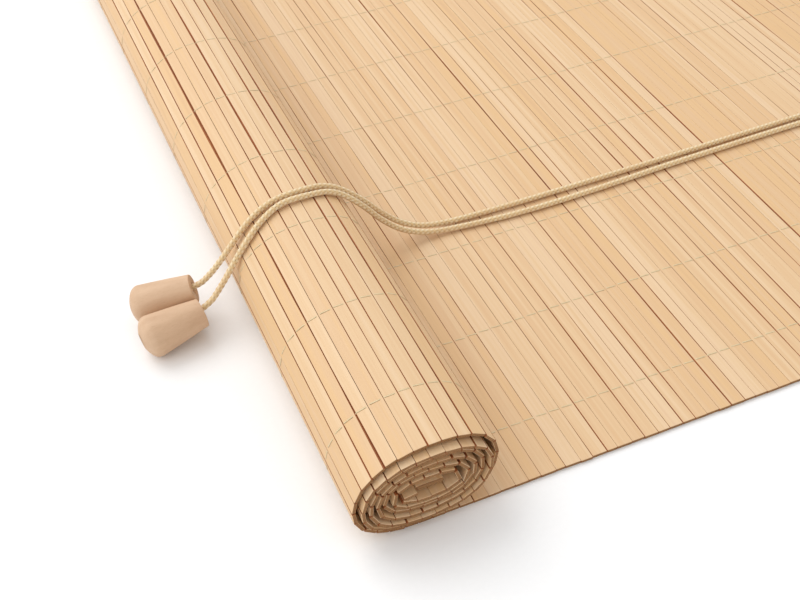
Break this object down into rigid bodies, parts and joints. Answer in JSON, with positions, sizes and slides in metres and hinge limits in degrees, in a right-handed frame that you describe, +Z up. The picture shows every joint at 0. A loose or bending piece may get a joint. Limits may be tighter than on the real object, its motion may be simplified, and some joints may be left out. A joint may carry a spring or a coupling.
{
  "type": "bamboo roll up blind",
  "caption": "Roll-up window blind of flat bamboo slats woven with warp threads, lying partly rolled, with pull cords, wooden tassels and a head batten with pulleys.",
  "frame": {"origin": "under the middle of the blind without its pull cords and tassels, on the surface that it lies on", "axes": "+X along the mat from the roll to the head batten, +Y along the slats, +Z up, out of the blind's face"},
  "size_m": [1.0025, 0.6, 0.0508],
  "materials": {
    "bamboo": "planed bamboo, unvarnished",
    "warp_thread": "fine twisted thread",
    "batten_wood": "planed light wood, unvarnished",
    "plate_steel": "zinc plated sheet",
    "screw_steel": "zinc plated",
    "box_plastic": "cream moulded plastic",
    "wheel_plastic": "white moulded plastic",
    "eyelet_brass": "plain",
    "cotton_cord": "braided cotton",
    "tassel_wood": "turned raw wood"
  },
  "bodies": {
    "blind": {"flat_slats": "bamboo", "rolled_slats": "bamboo", "bottom_lath": "bamboo", "under_threads": "warp_thread", "over_threads": "warp_thread", "head_batten": "batten_wood", "hanging_plate_far": "plate_steel", "hanging_plate_near": "plate_steel", "plate_screws": "screw_steel", "pair_pulley_box": "box_plastic", "pair_pulley_cover": "plate_steel", "lone_pulley_box": "box_plastic", "lone_pulley_cover": "plate_steel", "cover_screws": "screw_steel", "wheel_pins": "screw_steel", "eyelets": "eyelet_brass", "tassel_far": "tassel_wood", "tassel_near": "tassel_wood", "cord_knot_far": "cotton_cord", "cord_knot_near": "cotton_cord", "pull_cord_far": "cotton_cord", "pull_cord_near": "cotton_cord"},
    "near_wheel": {"pulley_wheel_near": "wheel_plastic"},
    "far_wheel": {"pulley_wheel_far": "wheel_plastic"},
    "lone_wheel": {"pulley_wheel_lone": "wheel_plastic"}
  },
  "joints": [
    {"name": "near_wheel_spin", "type": "hinge", "parent": "blind", "child": "near_wheel", "pos_m": [0.41799, -0.1483, 0.00715], "axis": [0, 0, 1], "continuous": true},
    {"name": "far_wheel_spin", "type": "hinge", "parent": "blind", "child": "far_wheel", "pos_m": [0.41799, -0.1267, 0.00715], "axis": [0, 0, 1], "continuous": true},
    {"name": "lone_wheel_spin", "type": "hinge", "parent": "blind", "child": "lone_wheel", "pos_m": [0.41799, 0.1443, 0.00715], "axis": [0, 0, 1], "continuous": true}
  ]
}
